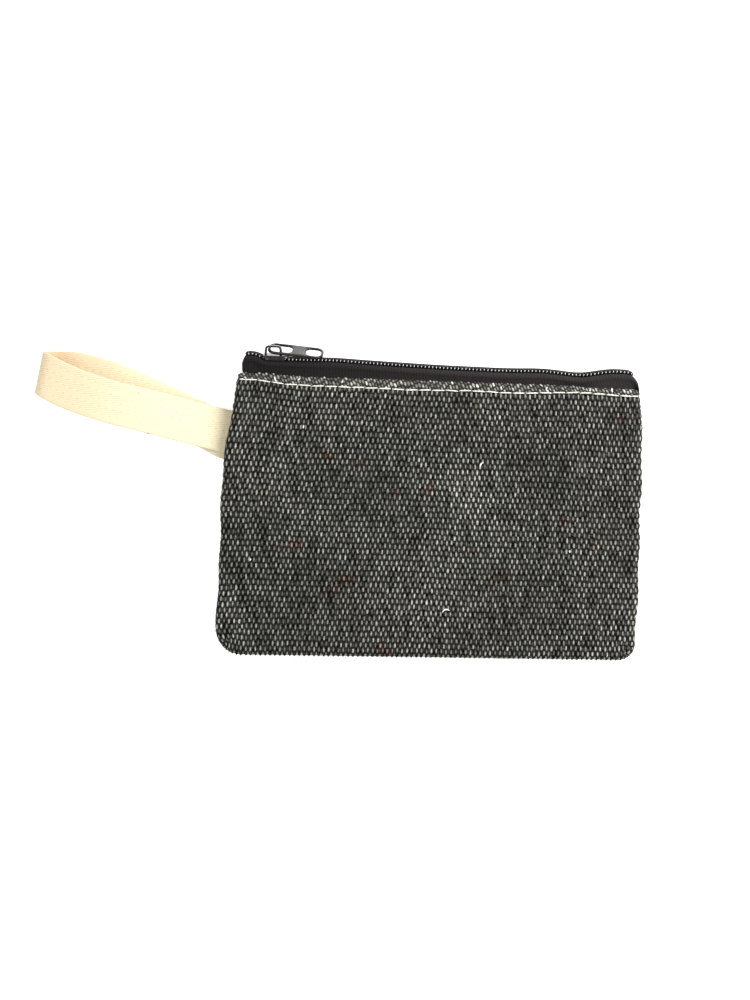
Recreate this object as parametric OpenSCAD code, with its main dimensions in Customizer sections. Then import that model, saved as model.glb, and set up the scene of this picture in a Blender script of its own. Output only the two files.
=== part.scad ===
// Small zippered pouch of coarse canvas with a wrist loop, lying on its back panel.
// X runs along the zipper, Y points to the mouth, Z is up. Millimetres.
// The parts are drawn around the middle of the body, then moved so that the whole
// object's box is centred on the origin and stands on Z = 0.

/* [Body] */
// Width between the side seams at the bottom
bottom_w = 146; // [142:0.5:150]
// Width between the side seams at the mouth
mouth_w = 136; // [134:0.5:140]
// Height of the canvas, bottom edge to mouth hem
canvas_h = 95.3; // [92:0.1:98]
// Rise of the mouth hem from left to right, as it was sewn
hem_rise = 2; // [0:0.1:2.2]
// Rise of the bottom edge from left to right
bottom_rise = 4.2; // [0:0.1:5]
// Radius of the left bottom corner
corner_left_r = 9; // [5:0.5:12]
// Radius of the right bottom corner
corner_right_r = 5.5; // [4:0.5:9]
// Thickness of the canvas
canvas_t = 1.1; // [0.9:0.05:1.2]
// Depth of the mouth hem that is folded inwards
hem_d = 8.5; // [7:0.5:10]

/* [Thickness] */
// Height of the pouch over the bottom seam
seam_h = 5; // [4.8:0.1:5.2]
// Height of the pouch over the mouth hem
mouth_h = 11.2; // [11.1:0.1:11.6]
// Width of the seam allowance inside the pouch
allowance = 7; // [5:0.5:9]

/* [Zipper] */
// Pitch of the coil
coil_pitch = 1.27; // [1.1:0.01:1.4]
// Length of the chain
chain_l = 134; // [130:1:135]
// Thickness of the zipper tape
tape_t = 0.6; // [0.4:0.05:0.6]
// Roll of the chain towards the front panel, degrees
chain_roll = 16; // [15:1:17]
// Length of the slider body
slider_l = 9; // [8.5:0.1:9.2]
// Travel of the slider from closed to open
slider_travel = 112; // [60:1:114]
// Length of the pull tab
tab_l = 19.3; // [17:0.1:22]
// Width of the pull tab
tab_w = 7.2; // [6.8:0.1:7.4]
// Thickness of the pull tab's rim
tab_t = 0.9; // [0.7:0.1:1]

/* [Loop] */
// Width of the loop's cotton tape
loop_w = 15; // [12:0.5:18]
// Length of the loop from the seam to its fold
loop_l = 69; // [50:1:90]
// Thickness of the cotton tape
loop_t = 0.9; // [0.7:0.1:1]
// Height of the loop where it folds back
loop_h = 7.2; // [6.8:0.1:8]
// Angle of the loop above the line of the zipper, degrees
loop_angle = 15.2; // [5:0.1:25]

/* [Stitches] */
// Pitch of the topstitch
stitch_pitch = 4.6; // [4:0.1:5]
// Length of thread that shows in one stitch
stitch_l = 3.6; // [3:0.1:3.8]
// Thickness of the sewing thread
thread_d = 0.55; // [0.4:0.05:0.6]

/* [Hidden] */
$fn = 32;
gap = 0.3;                       // clearance between bodies that move
hem_y = 44.1;                    // mouth hem at the middle of the body
bottom_y = hem_y - canvas_h;     // bottom edge at the middle of the body
chain_y = 49.1;
chain_z = 6.4;
slider_x = -56.2;                // slider when the pouch is closed
loop_at = [-71.6, 23.2];         // middle of the loop where it leaves the seam
shift = [33.587, -1.167, 0];      // brings the box's middle to the origin
tilt = atan((mouth_h - seam_h) / canvas_h);
flare = (bottom_w - mouth_w) / 2;

// ---- outline of the body ----
function hem_at(x) = hem_y + hem_rise * x / mouth_w;
function bottom_at(x) = bottom_y + bottom_rise * x / (bottom_w - 20);
// the sides run out quickly below the hem and are then nearly straight
function half_at(s, y) = mouth_w / 2
    + flare * (1 - exp(-max(0, (hem_at(s * mouth_w / 2) - y) / canvas_h) / 0.17));
function side(s, d, top) = let (r = s < 0 ? corner_left_r : corner_right_r,
        low = bottom_at(s * (bottom_w / 2 - r)) + r)
    [for (i = [0 : 10]) let (y = (hem_at(s * mouth_w / 2) - top) * (1 - i / 10) + low * i / 10)
        [s * (half_at(s, y) - d), y]];
function corner(s, d) = let (r = s < 0 ? corner_left_r : corner_right_r,
        low = bottom_at(s * (bottom_w / 2 - r)))
    [for (i = [1 : 6]) let (a = 15 * i)
        [s * (half_at(s, low) - r + (r - d) * cos(a)), low + r - (r - d) * sin(a)]];
function reversed(v) = [for (i = [len(v) - 1 : -1 : 0]) v[i]];
// d is how far inside the edge, top how far below the hem
function outline(d, top) = concat(side(-1, d, top), corner(-1, d),
    reversed(corner(1, d)), reversed(side(1, d, top)));

// ---- places ----
module place() translate(shift) children();
module on_chain(x) translate([x, chain_y, chain_z]) rotate([chain_roll, 0, 0]) children();
// the front panel's own frame: its outer face is Z = 0
module on_front() translate([0, bottom_y, seam_h]) rotate([tilt, 0, 0])
    translate([0, -bottom_y, 0]) children();
module below_front(g) difference() {
    children();
    on_front() translate([-120, -120, -canvas_t - g]) cube([240, 240, 60]);
}
// a band of thickness w along a path of points
function bearing(p, i) = let (a = p[max(0, i - 1)], b = p[min(len(p) - 1, i + 1)],
    v = b - a) [-v[1], v[0]] / norm(v);
function band(p, w) = concat([for (i = [0 : len(p) - 1]) p[i] + bearing(p, i) * w / 2],
    [for (i = [len(p) - 1 : -1 : 0]) p[i] - bearing(p, i) * w / 2]);
// a profile in Y and Z, drawn out along X
module along_x(x0, x1) translate([x0, 0, 0]) rotate([90, 0, 90])
    linear_extrude(x1 - x0) children();
// chain frame (n outwards, t to the front) to the body's Y and Z
function from_chain(n, t) = [chain_y + n * cos(chain_roll) - t * sin(chain_roll),
    chain_z + n * sin(chain_roll) + t * cos(chain_roll)];

// ---- canvas ----
// one canvas panel, outer face down on Z = 0, with a softened outer edge
module panel() difference() {
    union() {
        linear_extrude(0.4) polygon(outline(0.6, 0.3));
        translate([0, 0, 0.4]) linear_extrude(canvas_t - 0.4) polygon(outline(0, 0));
        translate([0, 0, canvas_t]) linear_extrude(canvas_t) polygon(hem_fold());
    }
}
function hem_fold() = let (x = mouth_w / 2 - allowance - 0.5)
    [[-x, hem_at(-x) - 0.2], [x, hem_at(x) - 0.2], [x, hem_at(x) - hem_d],
     [-x, hem_at(-x) - hem_d]];
module stitches() for (i = [-14 : 14]) let (x = i * stitch_pitch)
    translate([x, hem_at(x) - 2.9, 0]) rotate([0, 0, atan(hem_rise / mouth_w)])
        translate([-stitch_l / 2, -thread_d / 2, 0]) cube([stitch_l, thread_d, 0.3]);
module back_panel() color("dimgray") place() difference() {
    panel();
    stitches();
}
module back_topstitch() color("ivory") place() stitches();
module front_panel() color("gray") place() on_front() mirror([0, 0, 1]) panel();
module front_topstitch() color("ivory") place() on_front() stitches();

// seam allowances, turned inwards between the panels
function side_strip(s) = concat(
    [for (p = side(s, 0.9, 0.5)) if (p[1] > bottom_at(0) + allowance + 4) p],
    [let (y = bottom_at(0) + allowance + 4) [s * (half_at(s, y) - 0.9), y]],
    [let (y = bottom_at(0) + allowance + 4) [s * (half_at(s, y) - allowance), y]],
    reversed([for (p = side(s, allowance, 0.5)) if (p[1] > bottom_at(0) + allowance + 4) p]));
module side_seam(s) below_front(gap) translate([0, 0, canvas_t])
    linear_extrude(12) polygon(side_strip(s));
module left_seam() color("slategray") place() difference() {
    side_seam(-1);
    tail(0);
}
module right_seam() color("slategray") place() side_seam(1);
module bottom_seam() color("slategray") place() below_front(gap) difference() {
    translate([0, 0, canvas_t]) linear_extrude(8) polygon(outline(0.9, 0));
    translate([-100, bottom_y, 0]) rotate([0, 0, atan(bottom_rise / bottom_w)])
        translate([0, allowance - 2.2, 0]) cube([220, 160, 20]);
}

// ---- zipper ----
back_path = [from_chain(0, -0.9), from_chain(0, -3.7), from_chain(-0.25, -4.1),
    from_chain(-0.8, -4.35), from_chain(-1.5, -4.35)];
back_turn = [from_chain(-1.5, -4.35), from_chain(-1.75, -4.35), [45.6, 2.45], [44.8, 2.5]];
back_low = [[44.8, 2.5], [36.5, 2.5]];
front_path = [from_chain(0, 1.3), from_chain(0, 3.7), from_chain(-0.25, 4.05),
    from_chain(-0.65, 4.15), from_chain(-1.05, 3.9), [46.1, 9.3], [45.55, 8.85],
    [45.2, 8.72]];
front_low = [[45.2, 8.72], [36.5, 8.17]];
low_x = mouth_w / 2 - allowance - 0.5;
module back_tape() color("black") place()
    along_x(-chain_l / 2, chain_l / 2) polygon(band(back_path, tape_t));
// the edge of the same tape, turned under and sewn inside the hem
module back_tape_lap() color("black") place() {
    along_x(-chain_l / 2, chain_l / 2) polygon(band(back_turn, tape_t));
    along_x(-low_x, low_x) polygon(band(back_low, tape_t));
}
module front_tape() color("black") place() {
    along_x(-chain_l / 2, chain_l / 2) polygon(band(front_path, tape_t));
    along_x(-low_x, low_x) polygon(band(front_low, tape_t));
}
// one half of the chain: a spine with teeth that mesh with the other half's
teeth = floor((chain_l - 4) / coil_pitch);
function comb(off) = let (x0 = -teeth * coil_pitch / 2 + off, x1 = x0 + teeth * coil_pitch)
    concat([[x1, 2.1], [x0, 2.1]],
        [for (i = [0 : teeth - 1], k = [0 : 3]) let (x = x0 + i * coil_pitch)
            [x + [0.38, 0.38, 0.88, 0.88][k], [0.75, -0.45, -0.45, 0.75][k]]],
        [[x1, 0.75]]);
module coil_half(off) translate([0, 1.5, 0]) rotate([90, 0, 0])
    linear_extrude(1.2) polygon(comb(off));
module back_coil() color("darkslategray") place() on_chain(0) mirror([0, 0, 1])
    coil_half(coil_pitch / 2);
// the front half is cut back where the slider's wedge stands
module front_coil() color("darkslategray") place() difference() {
    on_chain(0) coil_half(0);
    on_chain(slider_x) translate([-4.6, 0, -1]) cube([1.9, 2, 2.25]);
}
// the folded tape that closes each end of the zipper, inside the two tapes
end_profile = [from_chain(-0.3, -3.3), from_chain(-0.3, -0.4), from_chain(-0.65, -0.4),
    from_chain(-0.65, 3.1), [45.75, 8.15], [45.75, 3.0]];
module zipper_end(s) translate([s * (chain_l / 2 - 2) - 2, 0, 0])
    rotate([90, 0, 90]) linear_extrude(4) polygon(end_profile);
module left_zipper_end() color("black") place() zipper_end(-1);
module right_zipper_end() color("black") place() zipper_end(1);

// slider, in the chain's frame: X along the chain, Y outwards, Z to the front
plate = [[-4.5, -2.5], [-3.7, -3.3], [-0.5, -3.35], [3.2, -3], [4.5, -1.9],
    [4.5, 1.9], [3.2, 3], [-0.5, 3.35], [-3.7, 3.3], [-4.5, 2.5]] * slider_l / 9;
lower_plate = [for (p = plate) [p[0], 0.86 * p[1]]];
module layer(n0, n1) translate([0, n1, 0]) rotate([90, 0, 0])
    linear_extrude(n1 - n0) children();
module slider_body() color("dimgray") place() on_chain(slider_x) {
    layer(1.65, 2.15) polygon(plate);
    layer(0.6, 1.65) difference() {
        polygon(plate);
        translate([-10, -2.35]) square([20, 4.7]);
    }
    layer(-1.3, -0.6) polygon(lower_plate);
    translate([-4.2, -0.65, 0.6]) cube([1.3, 2.35, 0.5]);      // wedge between the plates
    translate([0, 0, -0.8]) linear_extrude(1.6) difference() {  // bridge
        polygon([[-4.2, 2.1], [-4.1, 4.5], [-3.7, 5.1], [-3, 5.35], [0.6, 5.35],
            [1.3, 5.1], [1.75, 4.4], [1.9, 2.1]]);
        polygon([[-3.35, 2], [-3.35, 4.3], [-3, 4.7], [0.5, 4.7], [0.95, 4.3],
            [1, 2]]);
    }
}
// pull tab: local X along it, Z across it, the pivot under the bridge at the origin
tab_n = 3.66;                    // height of the tab's pivot over the chain's middle
tab_pivot = [slider_x - 2.3, from_chain(tab_n, 0)[0], from_chain(tab_n, 0)[1]];
module rounded(x0, y0, x1, y1, r) {
    translate([x0 + r, y0]) square([x1 - x0 - 2 * r, y1 - y0]);
    translate([x0, y0 + r]) square([x1 - x0, y1 - y0 - 2 * r]);
    for (x = [x0 + r, x1 - r], y = [y0 + r, y1 - r]) translate([x, y]) circle(r);
}
module pull_tab() color("silver") place() translate(tab_pivot)
    rotate([chain_roll + 18, 0, 0]) rotate([0, -4, 0]) rotate([0, 0, -2.4])
    translate([-0.5, 0, 0]) {
        u0 = -0.37;
        v1 = 2.17;
        v0 = v1 - tab_w;
        difference() {
            layer(-tab_t / 2, tab_t / 2) difference() {
                rounded(u0, v0, u0 + tab_l, v1, 2.8);
                rounded(u0 + 0.9, v0 + 0.9, u0 + 8.4, v1 - 0.9, 1.9);
                rounded(u0 + 13.2, v0 + 0.9, u0 + tab_l - 0.9, v1 - 0.9, 1.9);
            }
            for (n = [0.2, -tab_t]) layer(n, n + tab_t - 0.2)
                translate([u0 + 8.8, v0 + 0.9]) square([4, tab_w - 1.8]);
        }
    }

// ---- wrist loop ----
module along_loop() translate([loop_at[0], loop_at[1], 0])
    rotate([0, 0, 180 - loop_angle]) children();
// the two ends of the tape, caught in the left seam
module tail(g) along_loop() translate([-7, -loop_w / 2, 2.1]) cube([7, loop_w, 1.8]);
module loop_tail() color("wheat") place() intersection() {
    tail(0);
    translate([0, 0, 1]) linear_extrude(5) polygon(outline(0, 0));
}
fold_r = loop_h / 2;
function fold(r) = [for (i = [0 : 12]) let (a = 90 - 15 * i)
    [loop_l - fold_r + r * cos(a), fold_r + r * sin(a)]];
module wrist_loop() color("wheat") place() difference() {
    along_loop() rotate([90, 0, 0]) linear_extrude(loop_w, center = true) difference() {
        polygon(concat([[-3, 2.1], [-3, 3.9], [2, 3.9], [14, 4.6], [30, 5.9], [48, loop_h - 0.2]],
            fold(fold_r), [[14, 0], [6, 0.9], [2, 2.1]]));
        polygon(concat([[3.5, 3], [14, 3.7], [30, 5], [48, loop_h - 0.2 - loop_t]],
            fold(fold_r - loop_t), [[14.3, loop_t], [6.5, 1.8], [4, 2.6]]));
    }
    translate([0, 0, -1]) linear_extrude(12) polygon(outline(-0.4, -20));
}

back_panel();
front_panel();
left_seam();
right_seam();
bottom_seam();
back_topstitch();
front_topstitch();
back_tape();
back_tape_lap();
front_tape();
back_coil();
front_coil();
left_zipper_end();
right_zipper_end();
slider_body();
pull_tab();
loop_tail();
wrist_loop();
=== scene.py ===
"""Looks of a small zippered canvas pouch with a wrist loop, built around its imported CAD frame."""

import bmesh
import bpy
import numpy as np
from mathutils import Matrix, Vector


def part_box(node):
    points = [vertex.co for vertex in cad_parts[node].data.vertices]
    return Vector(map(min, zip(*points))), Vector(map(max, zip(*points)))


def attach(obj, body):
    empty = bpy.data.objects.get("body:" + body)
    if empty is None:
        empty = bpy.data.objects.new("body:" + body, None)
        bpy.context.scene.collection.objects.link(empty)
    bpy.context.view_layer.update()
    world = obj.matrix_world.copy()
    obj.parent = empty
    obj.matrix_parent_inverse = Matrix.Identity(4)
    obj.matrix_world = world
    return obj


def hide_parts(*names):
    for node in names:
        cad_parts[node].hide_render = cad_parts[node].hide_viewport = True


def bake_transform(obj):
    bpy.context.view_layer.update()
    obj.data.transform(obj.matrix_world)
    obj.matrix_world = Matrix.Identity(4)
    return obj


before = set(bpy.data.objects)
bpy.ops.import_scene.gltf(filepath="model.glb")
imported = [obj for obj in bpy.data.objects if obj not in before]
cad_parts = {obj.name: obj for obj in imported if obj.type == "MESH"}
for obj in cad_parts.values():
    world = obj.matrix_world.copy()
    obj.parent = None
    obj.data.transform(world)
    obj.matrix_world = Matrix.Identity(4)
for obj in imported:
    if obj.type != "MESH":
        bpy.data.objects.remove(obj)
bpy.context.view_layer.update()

# ---- sizes in millimetres, in the body's own frame: X along the zipper from the body's middle,
# ---- Y towards the mouth, Z up from what the pouch lies on ----
BOTTOM_W = 146.0
MOUTH_W = 136.0
CANVAS_H = 95.3         # from the bottom edge to the mouth hem
HEM_Y = 44.1            # the mouth hem at the body's middle
HEM_RISE = 2.0          # the hem is this much higher at its right end than at its left
BOTTOM_Y = HEM_Y - CANVAS_H
BOTTOM_SLOPE = 4.2 / 126
HEM_SLOPE = HEM_RISE / MOUTH_W
SEAM_H = 5.0            # thickness of the pouch at its bottom seam
MOUTH_H = 11.2          # and at its mouth
FRONT_SLOPE = (MOUTH_H - SEAM_H) / CANVAS_H
CORNER_R = {-1: 9.0, 1: 5.5}       # bottom corners, left and right
CORNER_REACH = 20.0
ROLL_R = 3.0            # the canvas turns down over this at the seams
MOUTH_ROLL_R = 1.6      # and over this at the two ends of the mouth
HEM_D = 8.5             # depth of the hem that is folded inwards
FOLD_R = 0.85           # radius of the hem's fold
STITCH_IN = 2.9         # the topstitch is this far below the hem
END_COUNT = 88          # warp ends across half a panel
PICK_COUNT = 50         # bands of weft picks from the bottom seam to the topstitch
PICK_PITCH = 1.9        # weft picks of the canvas
YARN_LOTS = 97          # side of the canvas's square table of random yarn tones
CHAIN_Y = 49.1          # middle line of the zipper's chain
CHAIN_Z = 6.4
CHAIN_ROLL = np.radians(16)         # the zipper leans back from the front panel
CHAIN_ENDS = {-1: 67.7, 1: 69.0}    # how far the chain reaches, left and right
CHAIN_CORNER = {-1: 2.0, 1: 4.6}    # its rounded ends
COIL_PITCH = 1.27
TAPE_T = 0.6
STITCH_PITCH = 4.6
LOOP_W = 15.0
LOOP_T = 0.85
SLIDER_TURN_X = 2.3     # the pull tab's pivot is this far behind the slider's middle

back_low, back_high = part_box("back_panel")
ORIGIN = np.array([
    (back_low.x + back_high.x) / 2,
    back_high.y - (HEM_Y + HEM_RISE / 2) / 1000,
    back_low.z,
])
slider_low, slider_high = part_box("slider_body")
SLIDER_X = ((slider_low.x + slider_high.x) / 2 - ORIGIN[0]) * 1000


def place(points):
    """Points in the body's frame, in millimetres, as points in the row frame, in metres."""
    return np.asarray(points, float) / 1000 + ORIGIN


def smooth(low, high, value):
    """0 below low, 1 above high, and a smooth step between them."""
    t = np.clip((value - low) / (high - low), 0, 1)
    return t * t * (3 - 2 * t)


# ---- camera, lights and floor ----

def make_camera():
    """Overhead, as the pouch was seen: 50 mm lens, turned a little so that the zipper slopes down."""
    data = bpy.data.cameras.new("camera")
    data.lens = 50
    data.clip_start = 0.01
    camera = bpy.data.objects.new("camera", data)
    bpy.context.scene.collection.objects.link(camera)
    camera.location = place([-19.9, 2.6, 487])
    camera.rotation_euler = (0, 0, np.radians(2.7))
    bpy.context.scene.camera = camera


def soft_light(name, spot, size, power):
    """A square softbox that faces the pouch."""
    data = bpy.data.lights.new(name, "AREA")
    data.shape = "SQUARE"
    data.size = size
    data.energy = power
    light = bpy.data.objects.new(name, data)
    bpy.context.scene.collection.objects.link(light)
    light.location = spot
    light.rotation_euler = (-Vector(spot)).to_track_quat("-Z", "Y").to_euler()
    light.visible_camera = False


def make_studio():
    scene = bpy.context.scene
    scene.view_settings.view_transform = "Standard"
    world = bpy.data.worlds.new("studio")
    world.use_nodes = True
    world.node_tree.nodes["Background"].inputs["Color"].default_value = (1, 1, 1, 1)
    world.node_tree.nodes["Background"].inputs["Strength"].default_value = 0.67
    scene.world = world
    soft_light("key", (0.40, 0.18, 0.40), 0.3, 4.9)
    soft_light("fill", (-0.7, -0.2, 0.9), 0.9, 4)
    mesh = bpy.data.meshes.new("floor")
    mesh.from_pydata([(-2, -2, 0), (2, -2, 0), (2, 2, 0), (-2, 2, 0)], [], [(0, 1, 2, 3)])
    floor = bpy.data.objects.new("floor", mesh)
    scene.collection.objects.link(floor)
    floor.data.materials.append(floor_material())


# ---- materials ----

class Nodes:
    """A material's node tree, with short calls for the nodes that the materials here share."""

    def __init__(self, name, roughness, **constants):
        self.material = bpy.data.materials.new(name)
        self.material.use_nodes = True
        self.tree = self.material.node_tree
        self.shader = self.tree.nodes["Principled BSDF"]
        self.shader.inputs["Roughness"].default_value = roughness
        for key, value in constants.items():
            self.shader.inputs[key.replace("_", " ")].default_value = value

    def add(self, kind, **settings):
        node = self.tree.nodes.new(kind)
        for key, value in settings.items():
            setattr(node, key, value)
        return node

    def link(self, out, into):
        self.tree.links.new(out, into)

    def place(self, stretch=(1, 1, 1)):
        """Object coordinates, stretched."""
        where = self.add("ShaderNodeTexCoord")
        mapping = self.add("ShaderNodeMapping")
        mapping.inputs["Scale"].default_value = stretch
        self.link(where.outputs["Object"], mapping.inputs["Vector"])
        return mapping.outputs["Vector"]

    def noise(self, scale, detail=3.0, stretch=(1, 1, 1), rough=0.55):
        node = self.add("ShaderNodeTexNoise")
        node.inputs["Scale"].default_value = scale
        node.inputs["Detail"].default_value = detail
        node.inputs["Roughness"].default_value = rough
        self.link(self.place(stretch), node.inputs["Vector"])
        return node.outputs["Fac"]

    def attribute(self, name):
        return self.add("ShaderNodeAttribute", attribute_name=name).outputs["Fac"]

    def maths(self, operation, a, b, clamp=False):
        node = self.add("ShaderNodeMath", operation=operation, use_clamp=clamp)
        for socket, value in ((node.inputs[0], a), (node.inputs[1], b)):
            if isinstance(value, (int, float)):
                socket.default_value = value
            else:
                self.link(value, socket)
        return node.outputs[0]

    def between(self, value, low, high, to_low=0.0, to_high=1.0):
        node = self.add("ShaderNodeMapRange")
        for key, number in (("From Min", low), ("From Max", high), ("To Min", to_low), ("To Max", to_high)):
            node.inputs[key].default_value = number
        self.link(value, node.inputs["Value"])
        return node.outputs["Result"]

    def ramp(self, value, *stops):
        """A colour from a number; each stop is (place, (r, g, b))."""
        node = self.add("ShaderNodeValToRGB")
        elements = node.color_ramp.elements
        while len(elements) < len(stops):
            elements.new(0.5)
        for element, (spot, colour) in zip(elements, stops):
            element.position = spot
            element.color = (*colour, 1)
        self.link(value, node.inputs["Fac"])
        return node.outputs["Color"]

    def mix(self, share, a, b):
        node = self.add("ShaderNodeMix", data_type="RGBA")
        for socket, value in ((node.inputs["Factor"], share), (node.inputs[6], a), (node.inputs[7], b)):
            if isinstance(value, (int, float)):
                socket.default_value = value
            elif isinstance(value, tuple):
                socket.default_value = (*value, 1)
            else:
                self.link(value, socket)
        return node.outputs[2]

    def bump(self, height, distance, strength=1.0):
        node = self.add("ShaderNodeBump")
        node.inputs["Distance"].default_value = distance
        node.inputs["Strength"].default_value = strength
        self.link(height, node.inputs["Height"])
        self.link(node.outputs["Normal"], self.shader.inputs["Normal"])

    def done(self, colour, roughness=None):
        self.link(colour, self.shader.inputs["Base Color"])
        if roughness is not None:
            self.link(roughness, self.shader.inputs["Roughness"])
        return self.material


def floor_material():
    m = Nodes("floor_white", 0.8, Emission_Color=(1, 1, 1, 1), Emission_Strength=0.55)
    return m.done(m.ramp(m.noise(6), (0.0, (0.90, 0.90, 0.90)), (1.0, (0.93, 0.93, 0.93))))


def canvas_material():
    """Dark warp-faced canvas: the tone attribute holds how pale each warp float is, worn pale at its crown
    and with painted shade where the yarns dip, and fibres break it up.
    """
    m = Nodes("canvas_dark", 0.95, Specular_IOR_Level=0.04)
    fibres = m.noise(5200, 4, (1, 0.28, 1), 0.65)
    cloud = m.noise(38, 2)
    tone = m.attribute("tone")
    tone = m.maths("MULTIPLY", tone, m.between(fibres, 0.3, 0.7, 0.6, 1.25))
    tone = m.maths("MULTIPLY", tone, m.between(cloud, 0.3, 0.7, 0.9, 1.1), clamp=True)
    colour = m.ramp(
        tone,
        (0.0, (0.004, 0.004, 0.0034)), (0.2, (0.046, 0.046, 0.040)),
        (0.5, (0.23, 0.23, 0.205)), (0.8, (0.52, 0.52, 0.475)), (1.0, (0.82, 0.81, 0.76)),
    )
    rust = m.between(m.noise(105, 1), 0.66, 0.76)
    warm = m.add("ShaderNodeMix", data_type="RGBA", blend_type="MULTIPLY")
    m.link(m.maths("MULTIPLY", rust, 0.8), warm.inputs["Factor"])
    m.link(colour, warm.inputs[6])
    warm.inputs[7].default_value = (1.0, 0.68, 0.6, 1)
    m.bump(fibres, 0.00012, 0.8)
    return m.done(warm.outputs[2])


def twill_material():
    """Natural cotton twill tape, with painted shade in the valleys of its twill lines and towards the loop's
    fold, and a few specks of seed.
    """
    m = Nodes("cotton_twill", 0.95, Specular_IOR_Level=0.1)
    fibres = m.noise(3500, 4, (1, 1, 1), 0.6)
    twill = m.attribute("tone")
    mixed = m.maths("ADD", m.maths("MULTIPLY", twill, 0.75), m.maths("MULTIPLY", fibres, 0.3), clamp=True)
    # painted shade: the dark end of this ramp shades the valleys of the twill lines
    colour = m.ramp(mixed, (0.0, (0.58, 0.43, 0.27)), (0.45, (0.74, 0.66, 0.46)), (1.0, (0.80, 0.75, 0.545)))
    # painted shade: a darker, more orange copy of the twill colour, laid on towards the loop's fold
    fold_shade_colour = m.ramp(mixed, (0.0, (0.50, 0.30, 0.16)), (0.5, (0.68, 0.50, 0.32)), (1.0, (0.74, 0.58, 0.40)))
    colour = m.mix(m.attribute("fold_shade"), colour, fold_shade_colour)
    cells = m.add("ShaderNodeTexVoronoi")
    cells.inputs["Scale"].default_value = 170
    m.link(m.place(), cells.inputs["Vector"])
    near = m.between(cells.outputs["Distance"], 0.045, 0.085, 1, 0)
    rare = m.maths("GREATER_THAN", cells.outputs["Color"], 0.55)
    colour = m.mix(m.maths("MULTIPLY", near, rare), colour, (0.13, 0.10, 0.06))
    m.bump(fibres, 0.00008, 0.7)
    return m.done(colour)


def tape_material():
    """Black polyester zipper tape with fine ribs."""
    m = Nodes("zipper_tape_black", 0.85, Specular_IOR_Level=0.12)
    ribs = m.add("ShaderNodeTexWave", bands_direction="X", wave_profile="SIN")
    ribs.inputs["Scale"].default_value = 620
    ribs.inputs["Distortion"].default_value = 0.6
    m.link(m.place(), ribs.inputs["Vector"])
    fibres = m.noise(4200, 3)
    mixed = m.maths("ADD", m.maths("MULTIPLY", ribs.outputs["Fac"], 0.5), m.maths("MULTIPLY", fibres, 0.5))
    m.bump(mixed, 0.00012, 0.9)
    # the tone attribute darkens the tape towards its left end: painted shade
    mixed = m.maths("MULTIPLY", mixed, m.attribute("tone"))
    return m.done(m.ramp(mixed, (0.1, (0.004, 0.0032, 0.0034)), (0.8, (0.036, 0.031, 0.031))))


def coil_material():
    m = Nodes("nylon_black", 0.5, Specular_IOR_Level=0.08)
    haze = m.noise(900, 3)
    return m.done(
        m.ramp(haze, (0.3, (0.003, 0.003, 0.003)), (0.7, (0.010, 0.009, 0.010))),
        m.between(haze, 0.3, 0.7, 0.42, 0.6),
    )


def thread_material(name, low, high):
    """Spun sewing thread: a twist of two plies."""
    m = Nodes(name, 0.7, Sheen_Weight=0.15)
    fibres = m.noise(6000, 3, (0.4, 1, 1))
    m.bump(fibres, 0.00005, 0.7)
    return m.done(m.ramp(fibres, (0.3, low), (0.7, high)))


def metal_material(name, low, high, roughness, wear, metallic=0.3):
    """Painted zinc: rubbed brighter where it is handled, with faint scratches."""
    m = Nodes(name, roughness, Metallic=metallic)
    rubbed = m.noise(700, 4, (1, 1, 1), 0.6)
    scratch = m.noise(2600, 2, (0.12, 1, 1), 0.6)
    edge = m.add("ShaderNodeNewGeometry").outputs["Pointiness"]
    worn = m.maths("MULTIPLY", m.between(edge, 0.6, 0.75), wear, clamp=True)
    colour = m.mix(worn, m.ramp(rubbed, (0.35, low), (0.68, high)), (0.45, 0.45, 0.43))
    m.bump(scratch, 0.00002, 0.5)
    return m.done(colour, m.between(rubbed, 0.3, 0.7, roughness - 0.07, roughness + 0.1))


# ---- mesh helpers ----

def new_object(name, mesh, material):
    thing = bpy.data.objects.new(name, mesh)
    bpy.context.scene.collection.objects.link(thing)
    for each in material if isinstance(material, (list, tuple)) else [material]:
        mesh.materials.append(each)
    return thing


def grid_faces(rows, columns, closed):
    """Faces of a grid of rows by columns; closed joins the last column to the first."""
    r, c = np.meshgrid(np.arange(rows - 1), np.arange(columns if closed else columns - 1), indexing="ij")
    d = (c + 1) % columns
    here, beyond = r * columns, (r + 1) * columns
    faces = np.stack([here + c, here + d, beyond + d, beyond + c], axis=-1)
    return faces.reshape(-1, 4)


def set_values(mesh, name, values):
    """Store one number per point, in the order of the grids, for a material to read."""
    layer = mesh.attributes.new(name, "FLOAT", "POINT")
    layer.data.foreach_set("value", np.concatenate([v.reshape(-1) for v in values]).astype(np.float32))


def grid_mesh(name, grids, tones=None, closed=False, caps=False):
    """One mesh from a list of grids of points, each rows by columns by 3, in the body's frame."""
    points, faces, ends, start = [], [], [], 0
    for grid in grids:
        rows, columns = grid.shape[:2]
        points.append(grid.reshape(-1, 3))
        faces.append(grid_faces(rows, columns, closed) + start)
        if caps:
            ends.append(list(range(start + columns - 1, start - 1, -1)))
            last = start + (rows - 1) * columns
            ends.append(list(range(last, last + columns)))
        start += rows * columns
    mesh = bpy.data.meshes.new(name)
    mesh.from_pydata(place(np.concatenate(points)).tolist(), [], np.concatenate(faces).tolist() + ends)
    mesh.update()
    mesh.shade_smooth()
    if tones is not None:
        set_values(mesh, "tone", tones)
    return mesh


def surface_normals(grid):
    across = np.gradient(grid, axis=1)
    along = np.gradient(grid, axis=0)
    normal = np.cross(across, along)
    return normal / np.maximum(np.linalg.norm(normal, axis=-1, keepdims=True), 1e-9)


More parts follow.
